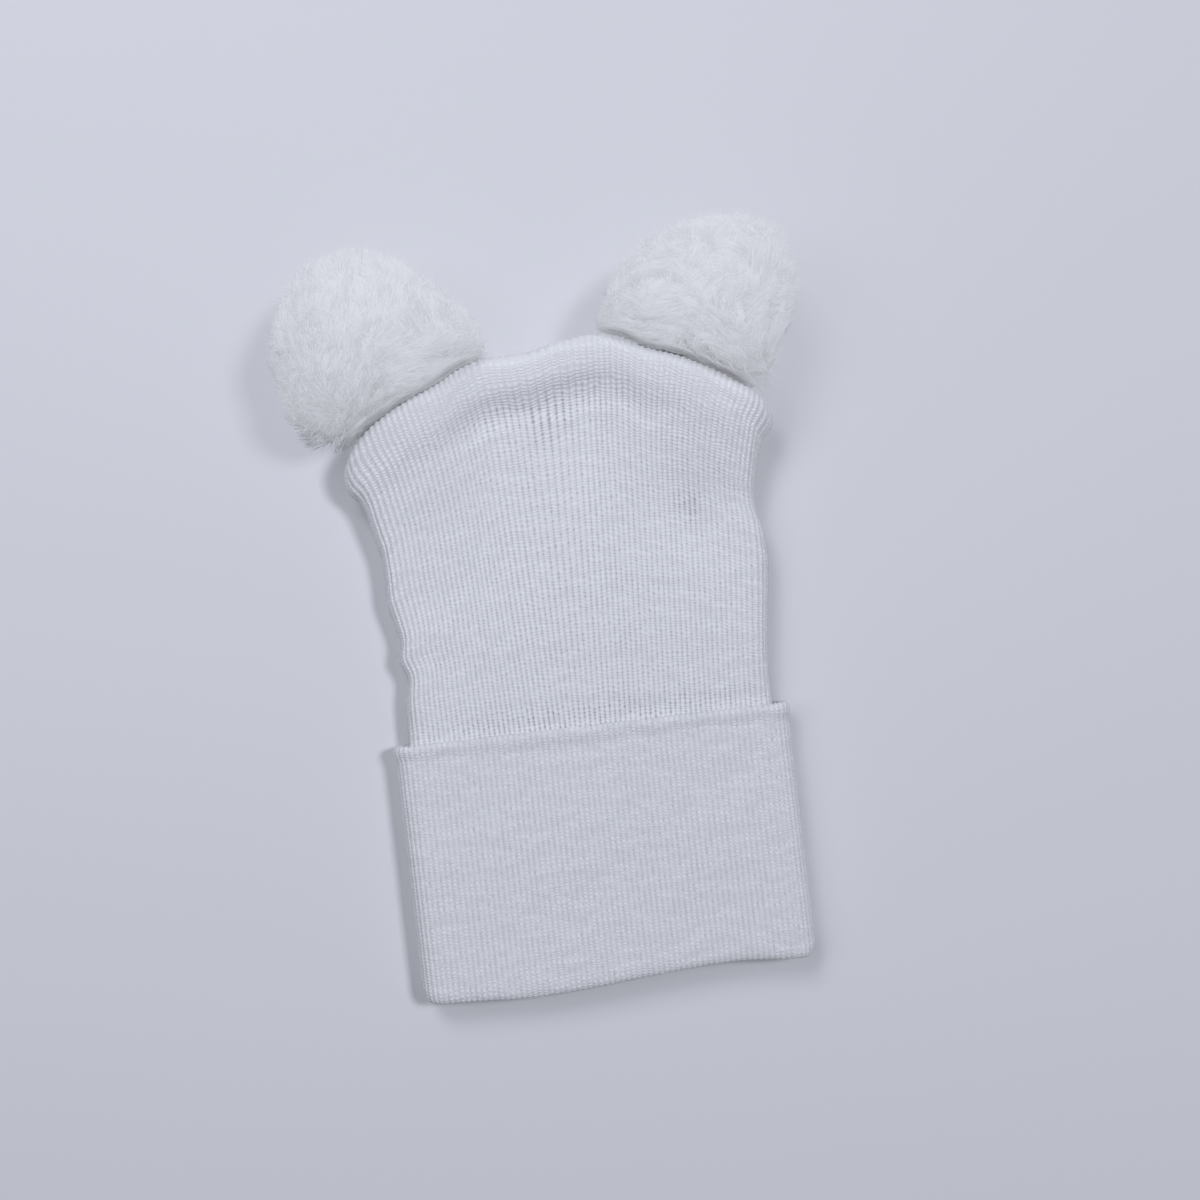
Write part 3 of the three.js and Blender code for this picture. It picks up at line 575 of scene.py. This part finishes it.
def edge_field():
    """How far places round the crown lie outside its outline seen from above, on a 1 mm grid."""
    share = np.linspace(0, 1, 160)
    right_x, right_y, _, _ = crown_plan(np.ones(160), share)
    top_x, top_y, _, _ = crown_plan(share[::-1], np.ones(160))
    left_x, left_y, _, _ = crown_plan(np.zeros(160), share[::-1])
    outline = np.stack([
        np.concatenate([right_x, top_x, left_x]), np.concatenate([right_y, top_y, left_y]),
    ], -1)
    steps = [np.arange(low, high + 1) for low, high in zip(FIELD_LOW, FIELD_HIGH)]
    nodes = np.stack(np.meshgrid(*steps, indexing="ij"), -1)
    flat = nodes.reshape(-1, 2)
    start, end = outline, np.roll(outline, -1, 0)
    run = end - start
    length = np.sum(run**2, 1) + 1e-12
    nearest = np.full(len(flat), 1e9)
    inside = np.zeros(len(flat), bool)
    for begin, step, square in zip(start, run, length):
        share_along = np.clip((flat - begin) @ step / square, 0, 1)
        nearest = np.minimum(nearest, np.linalg.norm(flat - begin - share_along[:, None] * step, axis=1))
        crosses = (begin[1] > flat[:, 1]) != (begin[1] + step[1] > flat[:, 1])
        at_x = begin[0] + (flat[:, 1] - begin[1]) * step[0] / (step[1] + 1e-12)
        inside ^= crosses & (flat[:, 0] < at_x)
    distance = np.where(inside, -nearest, nearest).reshape(nodes.shape[:2])
    return np.stack([distance, *np.gradient(distance)], -1)


EDGE_FIELD = edge_field()


def clear_of_crown(points, room):
    """Points moved out until they are clear of the crown's edge, and how far from it they then lie."""
    points = points.copy()
    for _ in range(3):
        at = points[..., :2] - FIELD_LOW
        cell = np.clip(np.floor(at).astype(int), 0, np.array(EDGE_FIELD.shape[:2]) - 2)
        share = np.clip(at - cell, 0, 1)[..., None]
        i, j = cell[..., 0], cell[..., 1]
        low = EDGE_FIELD[i, j] * (1 - share[..., 0, :]) + EDGE_FIELD[i + 1, j] * share[..., 0, :]
        high = EDGE_FIELD[i, j + 1] * (1 - share[..., 0, :]) + EDGE_FIELD[i + 1, j + 1] * share[..., 0, :]
        found = low * (1 - share[..., 1, :]) + high * share[..., 1, :]
        away = found[..., 1:] / (np.linalg.norm(found[..., 1:], axis=-1, keepdims=True) + 1e-6)
        short = room - found[..., :1]
        points[..., :2] += away * np.maximum(short, 0)
    return points, np.maximum(found[..., 0], room)


def behind_crown(points, room):
    """Points clear of the crown's edge, from which the pompom rounds up over a soft shoulder."""
    points, off = clear_of_crown(points, room)
    share = np.clip(off / EAR_SHOULDER, 0, 1)
    above = np.maximum(points[..., 2] - CROWN_EDGE_HEIGHT, 0)
    points[..., 2] -= above * SHOULDER_DROP * (1 - np.sqrt(1 - (1 - share) ** 2))
    return points


def ear_place(seat, stand_off):
    """The middle of an ear: off the crown's slanted edge, square to it."""
    x, y, _, _ = crown_plan(np.array([seat - 0.12, seat, seat + 0.12]), np.ones(3))
    edge = np.array([x[2] - x[0], y[2] - y[0]])
    edge /= np.linalg.norm(edge)
    off = EAR_STAND_OFF * stand_off
    return np.array([x[1] - edge[1] * off, y[1] + edge[0] * off, EAR_HEIGHT / 2])


def ear_skin(direction, outline, depth):
    """Points under the ear's outline in the given directions, at a depth in millimetres."""
    turn = np.degrees(np.arctan2(direction[:, 1], direction[:, 0])) % 360
    reach = EAR_RADIUS * smooth_between(outline[0], outline[1], turn) - depth
    level = np.sign(direction[:, 2]) * np.abs(direction[:, 2]) ** EAR_FULLNESS
    height = level * (EAR_HEIGHT / 2 - depth)
    return np.stack([direction[:, 0] * reach, direction[:, 1] * reach, height], -1)


def spread_directions(count, random):
    """Directions spread evenly over a ball, each moved a little at random."""
    index = np.arange(count)
    level = 1 - 2 * (index + 0.5) / count
    turn = index * math.pi * (3 - math.sqrt(5)) + random.normal(0, 0.25, count)
    ring = np.sqrt(1 - level**2)
    return np.stack([np.cos(turn) * ring, np.sin(turn) * ring, level], -1)


def yarn_end(sides, joints):
    """One straight strand along Z from 0 to 1 that closes to a point, to be laid along many curves."""
    form = bmesh.new()
    bmesh.ops.create_cone(form, segments=sides, radius1=1.0, radius2=0.0, depth=1.0, cap_ends=True)
    bmesh.ops.remove_doubles(form, verts=form.verts, dist=0.00001)
    bmesh.ops.translate(form, verts=form.verts, vec=(0, 0, 0.5))
    slanted = [edge for edge in form.edges if abs(edge.verts[0].co.z - edge.verts[1].co.z) > 0.5]
    bmesh.ops.subdivide_edges(form, edges=slanted, cuts=joints - 1)
    bmesh.ops.triangulate(form, faces=form.faces)
    mesh = bpy.data.meshes.new("strand")
    form.to_mesh(mesh)
    form.free()
    points = np.array([vertex.co for vertex in mesh.vertices])
    faces = np.array([list(face.vertices) for face in mesh.polygons])
    bpy.data.meshes.remove(mesh)
    girth = np.maximum(1 - points[:, 2:], 1e-6)
    points[:, :2] = np.where(points[:, 2:] < 0.999, points[:, :2] / girth, 0.0)
    return points, faces


def lay_strands(name, strand, centre, roots, reach, bend, width, taper, tone):
    """Many copies of one strand as one mesh, each along its own curve with its flat side outward."""
    points, faces = strand
    along = points[:, 2]
    line = behind_crown(roots + centre, STRAND_ROOM)[:, None] + reach[:, None] * along[None, :, None]
    line += bend[:, None] * (along**2)[None, :, None]
    line, _ = clear_of_crown(line, STRAND_ROOM)
    heading = reach + 1.4 * bend
    heading /= np.linalg.norm(heading, axis=1, keepdims=True)
    across = np.cross(heading, pile_facing(roots) + [0.031, 0.052, 0.079])
    across /= np.linalg.norm(across, axis=1, keepdims=True)
    outward = np.cross(across, heading)
    girth = (width[:, None] * taper(along)[None, :])[..., None]
    laid = line + girth * (
        across[:, None] * points[None, :, :1] - outward[:, None] * points[None, :, 1:2] * STRAND_FLATNESS)
    laid[..., 2] = np.maximum(laid[..., 2], 0.05)
    count = len(roots)
    joined = (faces[None] + (np.arange(count) * len(points))[:, None, None]).reshape(-1, 3)
    mesh = bpy.data.meshes.new(name)
    mesh.from_pydata(on_table(laid.reshape(-1, 3)), [], joined.tolist())
    mesh.shade_smooth()
    tip_and_shade = np.tile(along, count) + np.repeat(tone, len(points))
    add_pile(mesh, (line - centre).reshape(-1, 3), tip_and_shade)
    return mesh


def pile_facing(from_middle):
    """The way that a pompom's pile faces: outward, and drawn up towards the open sky."""
    facing = from_middle / np.array([EAR_RADIUS, EAR_RADIUS, EAR_HEIGHT / 2]) ** 2
    facing /= np.linalg.norm(facing, axis=1, keepdims=True)
    upward = PILE_UPWARD * np.clip(1 + facing[:, 2:] / UPWARD_FADE, 0, 1)
    return facing * (1 - upward) + upward * np.array([0.0, 0.0, 1.0])


def add_pile(mesh, from_middle, tip_and_shade):
    """Has a mesh lit as one soft pile, not as single threads, and marks how near the tips it is and how
    much painted shade it takes.
    """
    facing = pile_facing(from_middle)
    own = np.empty(len(mesh.vertices) * 3)
    mesh.vertex_normals.foreach_get("vector", own)
    facing = facing * (1 - OWN_FACING) + own.reshape(-1, 3) * OWN_FACING
    mesh.normals_split_custom_set_from_vertices(facing / np.linalg.norm(facing, axis=1, keepdims=True))
    mesh.attributes.new("tip_and_shade", "FLOAT", "POINT").data.foreach_set("value", tip_and_shade)


def pompom_material(name):
    """White yarn with a random tone, made darker and warmer by painted shade towards its roots."""
    material = bpy.data.materials.new(name)
    material.use_nodes = True
    tree = material.node_tree
    shader = tree.nodes["Principled BSDF"]
    tip_and_shade = add(tree.nodes, "ShaderNodeAttribute", (-5, 0), attribute_name="tip_and_shade")
    body = add(tree.nodes, "ShaderNodeTexCoord", (-5, -2))
    tone = add(tree.nodes, "ShaderNodeTexNoise", (-4, -2))
    tone.inputs["Scale"].default_value = 110.0
    tree.links.new(body.outputs["Object"], tone.inputs["Vector"])
    depth = sum_up(tree, "MULTIPLY_ADD", (-3, 0), tone.outputs["Fac"], 0.5, -0.15)
    depth = sum_up(tree, "ADD", (-2, 0), depth, tip_and_shade.outputs["Fac"], clamp=True)
    # Painted shade deep in the pile: darker and warmer at the roots, at tuft borders, on the ragged side
    # and in the heart's furrows.
    ends = add(tree.nodes, "ShaderNodeMix", (-1, 0), data_type="RGBA")
    ends.inputs["A"].default_value = (*YARN_ROOT_SHADE, 1)
    ends.inputs["B"].default_value = (*YARN_WHITE, 1)
    tree.links.new(depth, ends.inputs["Factor"])
    tree.links.new(ends.outputs["Result"], shader.inputs["Base Color"])
    shader.inputs["Roughness"].default_value = 1.0
    shader.inputs["Specular IOR Level"].default_value = 0.1
    return material


YARN_WHITE = (0.945, 0.945, 0.92)
YARN_ROOT_SHADE = (0.775, 0.77, 0.75)
pompom_yarn = pompom_material("brushed pompom yarn")
pompom_heart = pompom_material("packed pompom yarn")
# The packed heart lets much of the light through, so its shadows are weak.
HEART_SEE_THROUGH = 0.72
tree = pompom_heart.node_tree
ray = add(tree.nodes, "ShaderNodeLightPath", (-4, -7))
light = sum_up(tree, "MAXIMUM", (-3, -7), ray.outputs["Is Shadow Ray"], ray.outputs["Is Diffuse Ray"])
shade = sum_up(tree, "MULTIPLY_ADD", (-2, -7), light, -HEART_SEE_THROUGH, 1.0)
tree.links.new(shade, tree.nodes["Principled BSDF"].inputs["Alpha"])


def let_light_through(piece):
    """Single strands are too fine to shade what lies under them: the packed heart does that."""
    piece.visible_shadow = False
    piece.visible_diffuse = False


def make_ear(
        name, centre, outline, seed, parting, swirl, tuft_count, lumps, clump, lie, stray, curl, ragged):
    """One ear: its heart, its locks in two parts, and its loose fibres.

    The locks fan out from parting, turn by swirl and lie over by lie, each tuft off by stray. A tuft
    draws its locks together by clump, bends them by curl and lifts the heart by lumps. The side that
    ragged points to is clumped the most and given the most painted shade.
    """
    random = np.random.default_rng(seed)
    heart = bmesh.new()
    bmesh.ops.create_icosphere(heart, subdivisions=6, radius=1.0)
    mesh = bpy.data.meshes.new(name + "_heart")
    heart.to_mesh(mesh)
    heart.free()
    direction = np.empty(len(mesh.vertices) * 3)
    mesh.vertices.foreach_get("co", direction)
    direction = direction.reshape(-1, 3)
    tufts = spread_directions(tuft_count, random)
    near = np.sort(direction @ tufts.T, axis=1)
    crest = np.exp((near[:, -1] - 1) * tuft_count / 2.5)
    furrow = np.exp((near[:, -2] - near[:, -1]) * 60)
    lump = lumps * (crest - 0.6 * furrow)
    points = ear_skin(direction, outline, HEART_DEPTH) + direction * lump[:, None]
    points = behind_crown(points + centre, HEART_ROOM)
    points[:, 2] = np.maximum(points[:, 2], 0.3)
    mesh.vertices.foreach_set("co", on_table(points).ravel())
    mesh.shade_smooth()
    # Painted shade and light: the heart is darker in the furrows between its lumps and lighter on their
    # crests.
    add_pile(mesh, points - centre, 0.5 + 0.4 * lump / lumps)
    show(name + "_heart", mesh, pompom_heart, name)

    # The locks fan out from a parting. Each tuft's locks curl the same way and draw together at their
    # tips, most of all on the ragged side.
    flow = tufts - np.array(parting)
    flow /= np.linalg.norm(flow, axis=1, keepdims=True)
    flow += swirl * np.cross([0, 0, 1.0], tufts) + random.normal(0, stray, tufts.shape)
    flow -= tufts * np.sum(flow * tufts, axis=1, keepdims=True)
    rough = np.clip(tufts @ np.array(ragged), 0, 1) ** 2
    curls = random.normal(0, 1, tufts.shape) * (curl * (1 + rough))[:, None]
    tuft_length = random.normal(0, LOCK_LENGTH_SPREAD, tuft_count) * (1 + 2 * rough)
    for part in ("locks", "brushed"):
        direction = spread_directions(LOCKS_PER_PART, random)
        nearest = np.argmax(direction @ tufts.T, axis=1)
        drawn = (clump + (RAGGED_CLUMP - clump) * rough[nearest])[:, None]
        leaning = direction * (1 - drawn) + tufts[nearest] * drawn
        leaning += lie * flow[nearest] + random.normal(0, 0.05, direction.shape)
        leaning /= np.linalg.norm(leaning, axis=1, keepdims=True)
        roots = ear_skin(direction, outline, LOCK_ROOT_DEPTH)
        tips = ear_skin(leaning, outline, LOCK_TIP_DEPTH)
        tips -= leaning * random.uniform(0, 1.5, (LOCKS_PER_PART, 1)) ** 1.6
        tips += leaning * tuft_length[nearest][:, None]
        reach = (tips - roots) * 0.6 + direction * 1.4 + curls[nearest]
        bend = tips - roots - reach
        width = random.uniform(*LOCK_WIDTHS, LOCKS_PER_PART)
        tone = random.normal(0, TONE_SPREAD, LOCKS_PER_PART)
        # Painted shade: each lock is darker towards its tuft's border and on the ragged side.
        from_tuft = (1 - np.sum(direction * tufts[nearest], axis=1)) * tuft_count / 2
        tone -= TUFT_SHADE * from_tuft
        tone -= RAGGED_SHADE * rough[nearest]
        mesh = lay_strands(
            name if part == "locks" else name + "_brushed", yarn_end(3, 3), centre,
            roots, reach, bend, width, lambda along: 1.0 - 0.55 * along**2, tone)
        let_light_through(show(mesh.name, mesh, pompom_yarn, name))

    direction = spread_directions(FIBRES_PER_EAR, random)
    leaning = direction + random.normal(0, 0.35, direction.shape)
    leaning /= np.linalg.norm(leaning, axis=1, keepdims=True)
    roots = ear_skin(direction, outline, FIBRE_ROOT_DEPTH)
    reach = leaning * random.uniform(*FIBRE_LENGTHS, FIBRES_PER_EAR)[:, None]
    bend = random.normal(0, 1.3, direction.shape)
    width = random.uniform(*FIBRE_WIDTHS, FIBRES_PER_EAR)
    mesh = lay_strands(
        name + "_fibres", yarn_end(3, 2), centre, roots, reach, bend, width,
        lambda along: 1.0 - 0.6 * along, np.ones(FIBRES_PER_EAR))
    let_light_through(show(name + "_fibres", mesh, pompom_yarn, name))


make_ear(
    "ear_left", ear_place(0.193, 0.87), LEFT_OUTLINE, 5,
    parting=(-0.35, -0.95, 0.10), swirl=0.1, tuft_count=420, lumps=0.35, clump=0.38, lie=0.26,
    stray=0.3, curl=0.6, ragged=(-0.62, -0.74, 0.25))
make_ear(
    "ear_right", ear_place(0.768, 0.742), RIGHT_OUTLINE, 9,
    parting=(0.15, -1.00, -0.10), swirl=0.35, tuft_count=360, lumps=0.5, clump=0.48, lie=0.22,
    stray=0.8, curl=1.1, ragged=(0.68, -0.15, 0.05))

# Table.
# A wide smooth surface in matt pale paint, reaching past the picture on every side.
floor = bmesh.new()
bmesh.ops.create_grid(floor, x_segments=1, y_segments=1, size=3.0)
floor_mesh = bpy.data.meshes.new("table")
floor.to_mesh(floor_mesh)
floor.free()
table = bpy.data.objects.new("table", floor_mesh)
bpy.context.collection.objects.link(table)
paint = bpy.data.materials.new("pale table")
paint.use_nodes = True
paint.node_tree.nodes["Principled BSDF"].inputs["Base Color"].default_value = (0.80, 0.80, 0.805, 1)
paint.node_tree.nodes["Principled BSDF"].inputs["Roughness"].default_value = 0.9
floor_mesh.materials.append(paint)

# Light.
# Three broad soft boxes, left, right and beyond the crown, under a pale studio.
def soft_box(name, at, size, power, colour):
    """One square soft box, aimed at the hat."""
    lamp = bpy.data.lights.new(name, "AREA")
    lamp.shape = "SQUARE"
    lamp.size = size
    lamp.energy = power
    lamp.color = colour
    box = bpy.data.objects.new(name, lamp)
    box.location = at
    box.rotation_euler = (-Vector(at)).to_track_quat("-Z", "Y").to_euler()
    bpy.context.collection.objects.link(box)


COOL = (0.86, 0.89, 1.0)
soft_box("right soft box", (1.00, 0.26, 1.70), 0.34, 16.3, COOL)
soft_box("left soft box", (-0.80, 0.20, 1.00), 0.60, 2.4, COOL)
soft_box("far soft box", (-0.22, 0.50, 0.72), 0.34, 2.35, COOL)
studio = bpy.data.worlds.new("studio")
studio.use_nodes = True
studio.node_tree.nodes["Background"].inputs["Color"].default_value = (*COOL, 1)
studio.node_tree.nodes["Background"].inputs["Strength"].default_value = 0.135
bpy.context.scene.world = studio
bpy.context.scene.view_settings.view_transform = "Standard"
